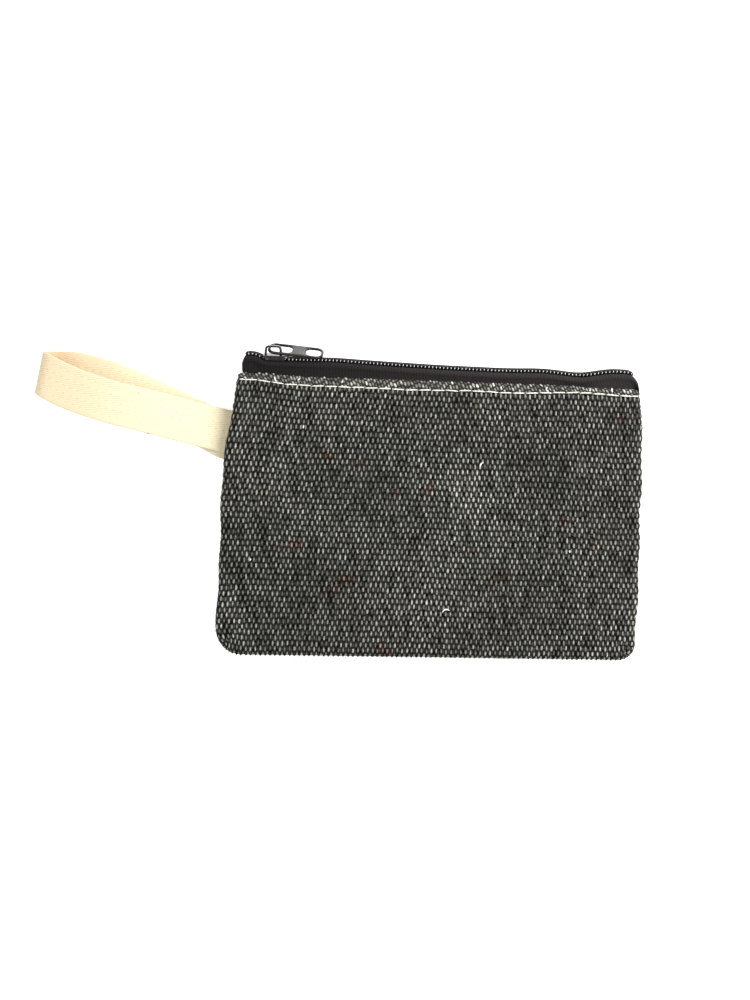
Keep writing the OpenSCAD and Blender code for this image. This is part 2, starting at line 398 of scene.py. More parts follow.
def curve_through(points, count):
    """Points evenly spaced on a smooth curve through the given ones."""
    p = np.asarray(points, float)
    p = np.vstack([2 * p[0] - p[1], p, 2 * p[-1] - p[-2]])
    t = np.linspace(0, 1, 17)[:-1, None]
    pieces = []
    for a, b, c, d in zip(p, p[1:], p[2:], p[3:]):
        pieces.append(
            0.5 * (2 * b + (c - a) * t + (2 * a - 5 * b + 4 * c - d) * t**2 + (3 * b - a - 3 * c + d) * t**3)
        )
    fine = np.vstack(pieces + [p[-2][None]])
    travelled = np.concatenate([[0], np.cumsum(np.linalg.norm(np.diff(fine[:, :3], axis=0), axis=1))])
    even = np.linspace(0, travelled[-1], count)
    return np.stack([np.interp(even, travelled, fine[:, k]) for k in range(p.shape[1])], axis=1)


def tube(path, radius, sides=8, twist=0.0):
    """Grid of a round tube along a path. twist gives it two plies, with a turn every twist millimetres."""
    forward = np.gradient(path, axis=0)
    forward /= np.linalg.norm(forward, axis=1, keepdims=True)
    up = np.where(np.abs(forward[:, 2:3]) > 0.9, [[1.0, 0, 0]], [[0, 0, 1.0]])
    side = np.cross(forward, up)
    side /= np.linalg.norm(side, axis=1, keepdims=True)
    over = np.cross(side, forward)
    angle = np.linspace(0, 2 * np.pi, sides, endpoint=False)
    size = np.broadcast_to(np.asarray(radius, float), (len(path),))[:, None] * np.ones(sides)
    if twist:
        step = np.linalg.norm(np.diff(path, axis=0), axis=1)
        travelled = np.concatenate([[0], np.cumsum(step)])[:, None]
        size = size * (1 + 0.16 * np.cos(2 * angle - 2 * np.pi * travelled / twist))
    ring = size[..., None] * (np.cos(angle)[:, None] * side[:, None] + np.sin(angle)[:, None] * over[:, None])
    return path[:, None] + ring


# ---- outline of the body ----

def hem_at(x):
    """The mouth hem: it lifts a little at the left corner and droops at the right one."""
    return HEM_Y + HEM_SLOPE * x + 0.7 * smooth(48, 66, -x) - 0.6 * smooth(40, 68, x)


def stitch_at(x):
    """The topstitch: it strays towards the hem at both ends."""
    stray = 0.75 * smooth(30, 64, -x) + 0.8 * smooth(24, 56, x) + 0.14 * np.sin(x / 6.1)
    return hem_at(x) - STITCH_IN + stray


def bottom_at(x):
    return BOTTOM_Y + BOTTOM_SLOPE * x


def half_at(y, side):
    """Half the body's width: straight to the left corner of the mouth, and fuller at the right one."""
    below = np.maximum(0, (hem_at(side * MOUTH_W / 2) - y) / CANVAS_H)
    if side < 0:
        return BOTTOM_W / 2 - 4.0 * np.exp(-((below / 0.19) ** 2))
    return BOTTOM_W / 2 - 3.3 * np.exp(-below / 0.3)


def front_at(y):
    """Height of the front panel's outer face."""
    return SEAM_H + FRONT_SLOPE * (y - BOTTOM_Y)


def round_corner(inset_x, inset_y, radius):
    """Moves points near a square corner so that its edges follow an arc."""
    a, b = CORNER_REACH - inset_x, CORNER_REACH - inset_y
    inside = (a > 0) & (b > 0)
    length = np.hypot(a, b) + 1e-9
    ca, sb = a / length, b / length
    square = CORNER_REACH / np.maximum(np.maximum(ca, sb), 1e-9)
    centre = CORNER_REACH - radius
    root = np.maximum((centre * (ca + sb)) ** 2 - 2 * centre**2 + radius**2, 0)
    arc = centre * (ca + sb) + np.sqrt(root)
    limit = np.where(CORNER_REACH * np.minimum(ca, sb) / np.maximum(ca, sb) > centre, arc, square)
    scale = 1 + (limit / square - 1) * np.clip(length / square, 0, 1) ** 3
    scale = np.where(inside, scale, 1)
    return CORNER_REACH - a * scale, CORNER_REACH - b * scale


# ---- canvas ----

def weave(ends, picks, random):
    """Height of the warp over the cloth's middle, in millimetres, and the tone of each place."""
    yarn = np.floor(ends + 1e-6)
    across = ends - yarn - 0.5
    odd = np.mod(yarn, 2)
    crown_row = odd + 2 * np.round((picks - odd) / 2)
    pick = np.mod(crown_row.astype(int), random.shape[1])
    yarn = np.mod(yarn.astype(int), random.shape[0])
    lot = random[yarn, pick]
    other = random[pick, np.mod(yarn, random.shape[1])]
    lean = 0.3 * (random[np.mod(yarn + 31, random.shape[0]), pick] - 0.5)
    turn = picks - crown_row
    wave = np.cos(np.pi * (picks - odd + 0.24 * (other - 0.5)))
    warp = np.sign(wave) * np.abs(wave) ** 0.75
    arch = np.cos(np.pi * np.clip(across + lean * turn, -0.5, 0.5))
    round_top = np.sqrt(np.clip(1 - 0.92 * (2 * across) ** 2, 0, 1))
    height = 0.27 * warp * arch * (0.75 + 0.5 * lot) + 0.2 * round_top
    # painted shade and wear: the warp floats are worn pale at their crowns, and the fall to dark where the
    # warp dips under is partly painted shade
    worn = smooth(0.0, 0.85 - 0.25 * other, np.maximum(warp, 0) * arch)
    # painted shade: the weft shows lighter at its crown and goes black in the gaps between the floats
    weft = np.maximum(-wave, 0) ** 1.5 * arch**0.5
    tone = worn * (0.34 + 0.36 * lot) + weft * (0.08 + 0.2 * other) * (lot > 0.2)
    return height, tone


def hem_weave(x, along, random):
    """The strip between the hem's fold and its topstitch: packed, slanting and paler flecks."""
    slant = (x + 0.45 * along + 0.35 * np.sin(x / 3.7)) / 1.12
    yarn = np.floor(slant)
    lot = random[np.mod(yarn.astype(int), random.shape[0]), 5]
    line = along / (1.4 + 0.6 * lot) + 0.5 * np.mod(yarn, 2) + lot
    row = np.floor(line)
    lot = random[np.mod(yarn.astype(int), random.shape[0]), np.mod(row.astype(int) + 7, random.shape[1])]
    lean = 0.5 * (random[np.mod(yarn.astype(int) + 11, random.shape[0]), np.mod(row.astype(int), 97)] - 0.5)
    ridge = np.cos(np.pi * np.clip(slant - yarn - 0.5 + lean * (line - row - 0.5), -0.5, 0.5))
    bead = np.cos(np.pi * (line - row - 0.5))
    fleck = ridge * bead**0.7
    height = 0.08 + 0.34 * fleck * (0.4 + 0.9 * lot)
    tone = smooth(0.15, 0.9, fleck) * (0.22 + 0.52 * lot + 0.3 * smooth(0.88, 0.96, lot)) + 0.07
    return height, np.clip(tone, 0, 1)


def roll_at(inset_y):
    """Radius over which the canvas turns down at its side seams; inset_y is 0 at the bottom, 1 at the hem."""
    return ROLL_R + (MOUTH_ROLL_R - ROLL_R) * smooth(0.75, 1, inset_y)


def swell_at(x, y, side):
    """How far the front panel swells over a plane, with its slack ripples."""
    plan = np.clip((half_at(y, side) - np.abs(x)) / 70, 0, 1)
    share = np.clip((y - BOTTOM_Y) / CANVAS_H, 0, 1)
    swell = 0.5 * np.sin(np.pi * plan / 2) * np.sin(np.pi * share)
    return swell + 0.16 * np.sin(x / 9.3 + y / 17 + 1.7) + 0.12 * np.sin(y / 7.9 - x / 21)


def canvas_top(x, y, side):
    """Height of the front canvas where something lies on it."""
    inset = np.clip(half_at(y, side) - np.abs(x), 0, None)
    roll = roll_at((y - BOTTOM_Y) / CANVAS_H)
    lift = np.sqrt(np.clip(1 - (1 - np.clip(inset / roll, 0, 1)) ** 2, 0, 1))
    seam_z = front_at(y) / 2
    return seam_z + (front_at(y) - 0.35 - seam_z + swell_at(x, y, side)) * lift


def canvas_grid(side, front, per_end, per_pick, seed):
    """Half of a canvas panel, from its side seam to the body's middle, with its mouth hem folded in.
    Returns the grid of points and the tone of each."""
    random = np.random.default_rng(seed).random((YARN_LOTS, YARN_LOTS))
    arc = np.pi / 2 * ROLL_R
    columns = np.linspace(0, END_COUNT, END_COUNT * per_end + 1)
    cloth_half = BOTTOM_W / 2 + arc - ROLL_R
    cloth = columns / END_COUNT * cloth_half
    turned_x = np.clip(cloth / arc, 0, 1) * np.pi / 2
    g = (1 - np.clip((cloth - arc) / (cloth_half - arc), 0, 1))[None, :]

    # rows: the plain canvas, the strip above the topstitch, the hem's fold, the part tucked inside
    plain_len = CANVAS_H - STITCH_IN + arc - ROLL_R
    plain = np.linspace(0, plain_len, PICK_COUNT * per_pick + 1)
    strip = plain_len + np.linspace(0, STITCH_IN - FOLD_R, 8)[1:]
    fold = strip[-1] + np.linspace(0, np.pi * FOLD_R, 10)[1:]
    tuck = fold[-1] + np.linspace(0, HEM_D, 12)[1:]
    rows = np.concatenate([plain, strip, fold, tuck])
    turned_y = np.clip(rows / arc, 0, 1) * np.pi / 2
    folded = np.clip((rows - strip[-1]) / (np.pi * FOLD_R), 0, 1) * np.pi
    tucked = np.maximum(rows - fold[-1], 0)
    run_up = ROLL_R + np.minimum(rows, strip[-1]) - arc
    inset_y = np.where(rows < arc, ROLL_R * (1 - np.cos(turned_y)), run_up)
    inset_y = (inset_y / (CANVAS_H - FOLD_R))[:, None]
    roll = roll_at(inset_y)

    guess = side * (BOTTOM_W / 2) * g * np.ones_like(inset_y)
    plan_y = inset_y * (hem_at(guess) - bottom_at(guess) - FOLD_R)
    half = half_at(bottom_at(guess) + plan_y, side)
    flat_x = (BOTTOM_W / 2 - ROLL_R) * g + (half - BOTTOM_W / 2 + ROLL_R - roll) * g**2
    plan_x = np.where(cloth[None, :] < arc, roll * (1 - np.cos(turned_x)), half - flat_x)
    plan_x, plan_y = round_corner(plan_x, plan_y, CORNER_R[side])
    y = bottom_at(guess) + plan_y
    wobble = 0.22 * np.sin(y / 3.1 + side) + 0.18 * np.sin(y / 7.3 + 2 * side)
    x = side * (half - plan_x - wobble * np.exp(-plan_x / 6))
    y = bottom_at(x) + plan_y
    stitch_row = (CANVAS_H - STITCH_IN) / (CANVAS_H - FOLD_R)
    tent = np.minimum(smooth(0.6, stitch_row, inset_y), np.clip((1 - inset_y) / (1 - stitch_row), 0, 1))
    y = y + (stitch_at(x) - hem_at(x) + STITCH_IN) * tent
    x = x + 0.07 * np.sin(2.1 * x + y / 2.9) * smooth(0, 6, plan_x)

    lift = np.sin(turned_x)[None, :] * np.sin(turned_y)[:, None]
    x = x - side * smooth(0, np.pi, folded)[:, None] * (1.4 * g**8)
    y = y + (FOLD_R * np.sin(folded) - tucked)[:, None]
    seam_z = front_at(y) / 2
    slack = swell_at(x, y, side)
    groove = np.exp(-(((rows - plain_len) / 0.8) ** 2))[:, None]
    pull = groove * (0.42 - 0.16 * np.cos(2 * np.pi * x / STITCH_PITCH))
    depth = FOLD_R * (1 - np.cos(folded))[:, None]
    if front:
        z = seam_z + (front_at(y) - 0.35 - seam_z - depth + slack - pull) * lift
    else:
        z = seam_z - (seam_z - 0.5 - depth - pull - 0.25 * np.abs(slack)) * lift
    grid = np.stack([x, y, z], axis=-1)

    normal = surface_normals(grid) * (1 if (side < 0) == front else -1)
    ends = columns[None, :] + 0 * y
    picks = (rows / PICK_PITCH)[:, None] + 0.12 * np.sin(x / 23) + 0.07 * np.sin(x / 8 + y / 30) + (side > 0)
    height, tone = weave(ends, picks, random)
    on_strip = smooth(plain_len - 0.3, plain_len + 0.3, rows)[:, None]
    strip_height, strip_tone = hem_weave(x, (rows - plain_len)[:, None] + 0 * x, random)
    height = height * (1 - on_strip) + strip_height * on_strip
    patch = 0.94 + 0.12 * np.sin(x / 11 + 1.3 * np.sin(y / 19)) * np.sin(y / 13 + 1)
    streak = 0.9 + 0.2 * random[np.mod(np.floor(ends + 1e-6).astype(int), YARN_LOTS), 3]
    tone = tone * patch * streak * (1 - on_strip) + strip_tone * on_strip
    height = height * smooth(0, 1.2, np.minimum(cloth, 9))[None, :]
    return grid + normal * height[..., None], np.clip(tone, 0, 1)


def make_canvas(material):
    for side, word in ((-1, "left"), (1, "right")):
        grid, tone = canvas_grid(side, True, 4, 4, 3 + side)
        mesh = grid_mesh(f"front_canvas_{word}", [grid], [tone])
        if side < 0:
            mesh.flip_normals()
        canvas = new_object(f"front_canvas_{word}", mesh, material)
        bend_with_mouth(canvas)
        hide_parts("front_panel")

        grid, tone = canvas_grid(side, False, 3, 3, 9 + side)
        mesh = grid_mesh(f"back_canvas_{word}", [grid], [tone])
        canvas = new_object(f"back_canvas_{word}", mesh, material)
        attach(canvas, "root")
        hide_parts("back_panel")


def bend_with_mouth(piece):
    """Half of the front: bakes its transform into its mesh, where it stays; it is not bent with the mouth."""
    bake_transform(piece)


def seam_strip(name, path, inward, node, material, seed):
    """The two layers of seam allowance inside the pouch, one sheet folded along the seam."""
    random = np.random.default_rng(seed).random((97, 61))
    fold = [[7.2, -0.9], [4, -0.75], [1.9, -0.6], [1.3, 0], [1.9, 0.6], [4, 0.75], [7.2, 0.9]]
    profile = curve_through(fold, 30)
    wave = 0.25 * np.sin(np.arange(len(path)) / 9.0)[:, None]
    grid = path[:, None] + profile[None, :, :1] * inward[:, None]
    grid = grid + np.stack([0 * wave, 0 * wave, wave], axis=-1) * (profile[None, :, :1] / 7)
    grid[..., 2] += profile[None, :, 1]
    travelled = np.arange(len(path)) * 0.6
    ends = np.linspace(0, 20, 30)[None, :] + 0 * travelled[:, None]
    picks = travelled[:, None] / PICK_PITCH + 0 * ends
    height, tone = weave(ends, picks, random)
    grid = grid + surface_normals(grid) * height[..., None] * 0.6
    strip = new_object(name, grid_mesh(name, [grid], [tone * 0.8]), material)
    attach(strip, "root")
    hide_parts(node)
    return strip


def make_seams(material):
    for side, word in ((-1, "left"), (1, "right")):
        y = np.arange(bottom_at(0) + 9, HEM_Y - 1.2, 0.6)
        x = side * (half_at(y, side) - 0.4)
        path = np.stack([x, y, front_at(y) / 2], axis=1)
        inward = np.tile([-side * 1.0, 0, 0], (len(y), 1))
        strip = seam_strip(f"{word}_seam_allowance", path, inward, f"{word}_seam", material, 20 + side)
    x = np.arange(-BOTTOM_W / 2 + 8, BOTTOM_W / 2 - 5, 0.6)
    path = np.stack([x, bottom_at(x) + 0.4, 0 * x + SEAM_H / 2], axis=1)
    inward = np.tile([0, 1.0, 0], (len(x), 1))
    strip = seam_strip("bottom_seam_allowance", path, inward, "bottom_seam", material, 30)


# ---- topstitch and slubs ----

def stitch_grid(x, length, lift, random):
    """One stitch of the topstitch: it comes up out of the canvas, lies along the hem and goes back in."""
    tilt = 0.15 * (random.random() - 0.5)
    length = length + 0.25 * (random.random() - 0.5)
    run = np.linspace(-0.5, 0.5, 15)
    along = x + run * length
    y = stitch_at(along) + tilt * run * length + 0.12 * (random.random() - 0.5)
    arch = np.clip((1 - (2 * np.abs(run)) ** 5), 0, 1)
    z = canvas_top(along, y, np.sign(x) or 1) + 0.1 if lift > 0 else 0.45 + 0 * y
    z = z + lift * (-0.40 + 0.50 * arch)
    radius = 0.21 * (0.7 + 0.3 * arch)
    return tube(np.stack([along, y, z], axis=1), radius, 8, twist=1.1)


def stitches(side, lift, random):
    """The stitches of one half, with a short one that runs over the side seam."""
    counts = range(-14, 0) if side < 0 else range(15)
    grids = [stitch_grid(k * STITCH_PITCH, 4.15, lift, random) for k in counts]
    return grids + [stitch_grid(side * 67.5, 1.9, lift, random)]


def make_topstitch(material):
    random = np.random.default_rng(5)
    for side, word in ((-1, "left"), (1, "right")):
        mesh = grid_mesh(f"front_topstitch_{word}", stitches(side, 1, random), closed=True, caps=True)
        thread = new_object(f"front_topstitch_{word}", mesh, material)
        bend_with_mouth(thread)
        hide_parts("front_topstitch")
    grids = stitches(-1, -1, random) + stitches(1, -1, random)
    mesh = grid_mesh("back_topstitch_thread", grids, closed=True, caps=True)
    thread = new_object("back_topstitch_thread", mesh, material)
    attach(thread, "root")
    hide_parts("back_topstitch")


SLUBS = [  # (x, y, length, heading in degrees, bend)
    (16.0, 16.4, 1.9, 60, 0.5), (6.4, -34.8, 2.6, 20, 1.1), (-45.6, 26.6, 1.2, 80, 0.2),
    (-55.9, 42.3, 2.0, 115, 0.3), (-47.9, 42.6, 1.0, 40, 0.2), (-33.0, 42.5, 0.9, 70, 0.2),
    (21.5, 43.0, 1.2, 110, 0.2), (37.0, 43.6, 1.0, 60, 0.1), (52.0, 43.7, 1.1, 80, 0.3),
    (59.5, 44.0, 1.6, 100, 0.3), (-62.0, -20.0, 0.9, 75, 0.1), (48.0, -12.0, 0.9, 95, 0.1),
]


def make_slubs(material):
    """Undyed bits of fibre caught in the front canvas."""
    for side, word in ((-1, "left"), (1, "right")):
        grids = []
        for x, y, length, heading, bend in SLUBS:
            if (x < 0) != (side < 0):
                continue
            run = np.linspace(-0.5, 0.5, 11)
            a = np.radians(heading)
            off = bend * (0.25 - run**2) * length
            px = x + run * length * np.cos(a) - off * np.sin(a)
            py = y + run * length * np.sin(a) + off * np.cos(a)
            pz = canvas_top(px, py, side) + 0.4 + 0.12 * (1 - (2 * run) ** 2)
            radius = 0.08 + 0.2 * (1 - (2 * run) ** 2)
            grids.append(tube(np.stack([px, py, pz], axis=1), radius, 8))
        mesh = grid_mesh(f"slubs_{word}", grids, closed=True, caps=True)
        slubs = new_object(f"slubs_{word}", mesh, material)
        bend_with_mouth(slubs)


# ---- zipper ----

def from_chain(n, t):
    """Y and Z of a place in the chain's frame: n outwards from the mouth, t to the front."""
    return (
        CHAIN_Y + n * np.cos(CHAIN_ROLL) - t * np.sin(CHAIN_ROLL),
        CHAIN_Z + n * np.sin(CHAIN_ROLL) + t * np.cos(CHAIN_ROLL),
    )


def chain_wave(x):
    """How far the zipper's top edge strays outwards from a straight line."""
    left = 1.35 * smooth(59.3, 64.5, -x)
    right = 1.5 * smooth(49, 61.5, x)
    hump = 0.35 * np.exp(-(((x + 36) / 9) ** 2)) + 0.45 * np.exp(-(((x - 35) / 8) ** 2))
    dip = -0.45 * smooth(-28, 6, x) - 0.3 * np.exp(-(((x - 47) / 5) ** 2))
    return left + right + hump + dip


def end_drop(x):
    """How far the zipper's top edge comes down at its rounded ends."""
    reach = np.where(x < 0, CHAIN_ENDS[-1], CHAIN_ENDS[1])
    radius = np.where(x < 0, CHAIN_CORNER[-1], CHAIN_CORNER[1])
    near = np.clip(reach - np.abs(x), 0, radius)
    return radius - np.sqrt(radius**2 - (radius - near) ** 2)


FRONT_PATH = [
    from_chain(0.1, 0.9), from_chain(0.1, 2.4), from_chain(0, 3.35), from_chain(-0.3, 3.85),
    from_chain(-0.8, 3.85), (46.6, 9.2), (45.5, 8.55), (44.4, 8.25), (36.5, 7.75),
]
BACK_PATH = [
    from_chain(0.1, -0.9), from_chain(0.1, -2.4), from_chain(0, -3.6), from_chain(-0.3, -4.15),
    from_chain(-0.9, -4.35), from_chain(-1.7, -4.35), (45.8, 2.7), (44.4, 2.95), (36.5, 3.0),
]


def tape_grid(path, x):
    """A closed band along the zipper: rows along X, columns round its thin section."""
    line = curve_through([(y, z, 0) for y, z in path], 34)[:, :2]
    forward = np.gradient(line, axis=0)
    forward /= np.linalg.norm(forward, axis=1, keepdims=True)
    out = np.stack([-forward[:, 1], forward[:, 0]], axis=1)
    near_chain = smooth(0, 1, np.clip((line[:, 0] - 44.3) / 3.2, 0, 1))
    weight = np.concatenate([near_chain, near_chain[::-1]])
    section = np.concatenate([line + out * TAPE_T / 2, (line - out * TAPE_T / 2)[::-1]])
    rib = 0.03 * np.cos(2 * np.pi * x / 0.8)[:, None]
    normal = np.concatenate([out, -out[::-1]])
    y = section[None, :, 0] + normal[None, :, 0] * rib
    z = section[None, :, 1] + normal[None, :, 1] * rib
    y = y + (chain_wave(x) - end_drop(x))[:, None] * weight
    narrow = 1 - 0.035 * smooth(60, 68, np.abs(x))[:, None] * smooth(45.0, 43.0, section[None, :, 0])
    return np.stack([x[:, None] * narrow, y, z], axis=-1)


def coil_grids(sign, start, end, phase):
    """Half of the chain: one nylon filament wound in flattened loops round a filler cord."""
    turns = (end - start) / COIL_PITCH
    angle = np.linspace(0, 2 * np.pi * turns, int(turns * 16))
    x = start + COIL_PITCH * angle / (2 * np.pi)
    angle = angle + phase
    y, z = from_chain(0.92 + 0.36 * np.sin(angle), sign * (0.83 + 1.22 * np.cos(angle)))
    y = y + chain_wave(x) - end_drop(x)
    filament = tube(np.stack([x, y, z], axis=1), 0.25, 8)
    x = np.linspace(start, end, 120)
    y, z = from_chain(0.86 + 0 * x, sign * 1.1)
    y = y + chain_wave(x) - end_drop(x)
    return [filament, tube(np.stack([x, y, z + 0 * x], axis=1), 0.64, 8)]


def coil_thread(sign, places):
    """The sewing thread that holds a half of the chain to its tape, one short loop over each turn."""
    grids = []
    for x in places:
        a = np.radians(np.linspace(-30, 42, 7))
        y, z = from_chain(1.06 + 0.40 * np.sin(a), sign * (1.66 + 0.58 * np.cos(a)))
        px = x + 0.1 * np.sin(a)
        y = y + chain_wave(px) - end_drop(px)
        grids.append(tube(np.stack([px, y, z], axis=1), 0.145 * np.cos(a), 6))
    return grids


def make_zipper(tape, coil, thread):
    for side, word in ((-1, "left"), (1, "right")):
        x = np.sort(side * np.linspace(0, CHAIN_ENDS[side], 172))
        first, last = sorted((0, side * (CHAIN_ENDS[side] - 0.45 * CHAIN_CORNER[side])))
        phase = 2 * np.pi * first / COIL_PITCH
        places = COIL_PITCH * np.arange(np.ceil(first / COIL_PITCH - 0.1), last / COIL_PITCH) + COIL_PITCH / 4
        for sign, half, path in ((1, "front", FRONT_PATH), (-1, "back", BACK_PATH)):
            grid = tape_grid(path, x)
            # painted shade: the tape is darker towards its left end, half as bright at the far left as at the
            # right
            tone = 0.5 + 0.5 * smooth(-72, 25, grid[..., 0])
            mesh = grid_mesh(f"{half}_tape_{word}", [grid], [tone], closed=True, caps=True)
            band = new_object(f"{half}_tape_{word}", mesh, tape)
            half_turn = 0 if sign > 0 else np.pi
            grids = coil_grids(sign, first, last, phase + half_turn)
            mesh = grid_mesh(f"{half}_coil_{word}", grids, closed=True, caps=True)
            filament = new_object(f"{half}_coil_{word}", mesh, coil)
            mesh = grid_mesh(f"{half}_coil_thread_{word}", coil_thread(sign, places), closed=True, caps=True)
            sewing = new_object(f"{half}_coil_thread_{word}", mesh, thread)
            for piece in (band, filament, sewing):
                if sign > 0:
                    bend_with_mouth(piece)
                else:
                    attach(piece, "root")
            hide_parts(f"{half}_tape", *(["back_tape_lap"] if sign < 0 else []))
            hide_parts(f"{half}_coil")


def make_zipper_end(side, word, material):
    """The folded tape that closes an end of the zipper, between the two tapes."""
    corners = [
        from_chain(-0.15, -3.4), from_chain(0.25, -2.0), from_chain(0.3, 0), from_chain(0.25, 2.0),
        from_chain(-0.2, 3.5), from_chain(-1.2, 3.5), (45.7, 8.2), (43.5, 7.6), (43.5, 3.2), (45.6, 3.0),
    ]
    ring = curve_through([(y, z, 0) for y, z in corners + corners[:1]], 41)[:-1, :2]
    centre = ring.mean(0)
    x = side * (CHAIN_ENDS[side] - np.linspace(3.8, 0.05, 16))
    swell = 0.93 * np.clip((1 - ((np.abs(x) - CHAIN_ENDS[side] + 2.2) / 2.3) ** 6), 0.3, 1) ** 0.3
    section = centre + (ring - centre) * swell[:, None, None]
    weight = smooth(44.3, 47.5, section[..., 0])
    y = section[..., 0] + (chain_wave(x) - end_drop(x))[:, None] * weight
    grid = np.stack([np.broadcast_to(x[:, None], y.shape), y, section[..., 1]], axis=-1)
    # painted shade: the left end's fold is darker than the right one's
    tone = np.full(grid.shape[:2], 0.55 if side < 0 else 0.9)
    mesh = grid_mesh(f"{word}_zipper_fold", [grid], [tone], closed=True, caps=True)
    piece = new_object(f"{word}_zipper_fold", mesh, material)
    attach(piece, "root")
    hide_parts(f"{word}_zipper_end")


# ---- slider and pull tab ----

def arc_points(cx, cy, radius, first, last, count=10):
    a = np.radians(np.linspace(first, last, count))
    return [(cx + radius * np.cos(k), cy + radius * np.sin(k)) for k in a]


def rounded_box(x0, y0, x1, y1, r):
    return (
        arc_points(x1 - r, y1 - r, r, 0, 90) + arc_points(x0 + r, y1 - r, r, 90, 180)
        + arc_points(x0 + r, y0 + r, r, 180, 270) + arc_points(x1 - r, y0 + r, r, 270, 360)
    )


def pressed_plate(outlines, low, high, bevel):
    """Mesh of a plate with rounded edges: outlines are the rim and its holes, in millimetres."""
    curve = bpy.data.curves.new("outline", "CURVE")
    curve.dimensions = "2D"
    curve.fill_mode = "BOTH"
    curve.extrude = (high - low) / 2 - bevel
    curve.bevel_depth = bevel
    curve.bevel_resolution = 3
    curve.offset = -bevel
    for outline in outlines:
        spline = curve.splines.new("POLY")
        spline.points.add(len(outline) - 1)
        for point, (x, y) in zip(spline.points, outline):
            point.co = (x, y, 0, 1)
        spline.use_cyclic_u = True
    holder = bpy.data.objects.new("outline", curve)
    bpy.context.scene.collection.objects.link(holder)
    bpy.context.view_layer.update()
    mesh = bpy.data.meshes.new_from_object(holder.evaluated_get(bpy.context.evaluated_depsgraph_get()))
    bpy.data.objects.remove(holder)
    mesh.transform(Matrix.Translation((0, 0, (low + high) / 2)))
    return mesh


def joined(name, parts, material, matrix):
    """One object from (mesh, material index) pairs; matrix takes their millimetres to the body's frame."""
    built = bmesh.new()
    for mesh, index in parts:
        before = len(built.faces)
        built.from_mesh(mesh)
        built.faces.ensure_lookup_table()
        for face in built.faces[before:]:
            face.material_index = index
    bmesh.ops.remove_doubles(built, verts=built.verts, dist=0.001)
    bmesh.ops.recalc_face_normals(built, faces=built.faces)
    mesh = bpy.data.meshes.new(name)
    built.to_mesh(mesh)
    built.free()
    mesh.transform(Matrix.Translation(ORIGIN) @ Matrix.Scale(0.001, 4) @ matrix)
    thing = new_object(name, mesh, material)
    bpy.context.view_layer.objects.active = thing
    thing.select_set(True)
    bpy.ops.object.shade_smooth_by_angle(angle=np.radians(38))
    thing.select_set(False)
    return thing


def in_millimetres(grid, caps=True):
    """A closed grid as a mesh that stays in millimetres."""
    rows, columns = grid.shape[:2]
    faces = grid_faces(rows, columns, True).tolist()
    if caps:
        faces.append(list(range(columns - 1, -1, -1)))
        faces.append(list(range((rows - 1) * columns, rows * columns)))
    mesh = bpy.data.meshes.new("part")
    mesh.from_pydata(grid.reshape(-1, 3).tolist(), [], faces)
    return mesh


ON_EDGE = Matrix(((1, 0, 0, 0), (0, 0, 1, 0), (0, 1, 0, 0), (0, 0, 0, 1)))  # outline (x, t), thickness n
OUTLINE_X = [-4.5, -4.3, -3.7, -2.5, -0.5, 1.5, 3.0, 3.9, 4.35, 4.5]
OUTLINE_HALF = [2.2, 2.75, 3.2, 3.33, 3.35, 3.2, 2.95, 2.5, 1.9, 1.2]


def slider_shell():
    """Upper plate of the slider with its two flanges, one pressed shell with a crowned top."""
    x = np.linspace(-4.5, 4.5, 37)
    half = np.interp(x, OUTLINE_X, OUTLINE_HALF)
    rings = []
    for station, w in zip(x, half):
        low = 0.6 + 0.85 * smooth(2.6, 3.7, station) + 0.25 * smooth(3.9, 4.5, -station)
        outer = [(w - 0.12, low), (w, low + 0.12), (w, 1.5), (w - 0.05, 1.8), (w - 0.22, 2.02),
                 (w - 0.55, 2.13), (w * 0.6, 2.16), (0, 2.18)]
        inner = [(0, 1.62), (w * 0.55, 1.62), (w - 0.95, 1.6), (w - 0.72, 1.5), (w - 0.62, 1.3),
                 (w - 0.6, low + 0.1), (w - 0.5, low)]
        full = [(t, n) for t, n in outer] + [(-t, n) for t, n in outer[-2::-1]]
        full += [(-t, n) for t, n in inner[::-1]] + [(t, n) for t, n in inner[1:]]
        rings.append([(station, n, t) for t, n in full])
    return in_millimetres(np.array(rings))


def slider_plate_outline(shrink):
    x = np.linspace(-4.5, 4.5, 31)
    half = np.interp(x, OUTLINE_X, OUTLINE_HALF) - shrink
    return [(a, b) for a, b in zip(x, half)] + [(a, -b) for a, b in zip(x[::-1], half[::-1])]


def make_slider(material):
    lower = pressed_plate([slider_plate_outline(0.45)], -1.3, -0.6, 0.2)
    lower.transform(ON_EDGE)
    wedge = pressed_plate([rounded_box(-4.2, 0.6, -2.9, 1.1, 0.2)], -0.65, 1.7, 0.08)
    wedge.transform(ON_EDGE)
    arch = curve_through([
        (-4.15, 2.0, 0), (-4.12, 3.6, 0), (-3.95, 4.65, 0), (-3.3, 5.22, 0), (-2.2, 5.35, 0), (-0.4, 5.35, 0),
        (0.9, 5.2, 0), (1.55, 4.6, 0), (1.8, 3.5, 0), (1.88, 2.0, 0),
    ], 40)[:, :2]
    window = curve_through([
        (1.0, 1.95, 0), (1.0, 3.6, 0), (0.85, 4.35, 0), (0.3, 4.68, 0), (-1.4, 4.7, 0), (-2.8, 4.68, 0),
        (-3.25, 4.3, 0), (-3.37, 3.5, 0), (-3.35, 1.95, 0),
    ], 36)[:, :2]
    bridge = pressed_plate([[tuple(p) for p in arch] + [tuple(p) for p in window]], -0.8, 0.8, 0.2)
    parts = [(slider_shell(), 0), (lower, 0), (wedge, 0), (bridge, 0)]
    on_chain = Matrix.Translation((SLIDER_X, CHAIN_Y, CHAIN_Z)) @ Matrix.Rotation(CHAIN_ROLL, 4, "X")
    slider = joined("slider_detailed", parts, [material], on_chain)
    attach(slider, "slider")
    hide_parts("slider_body")


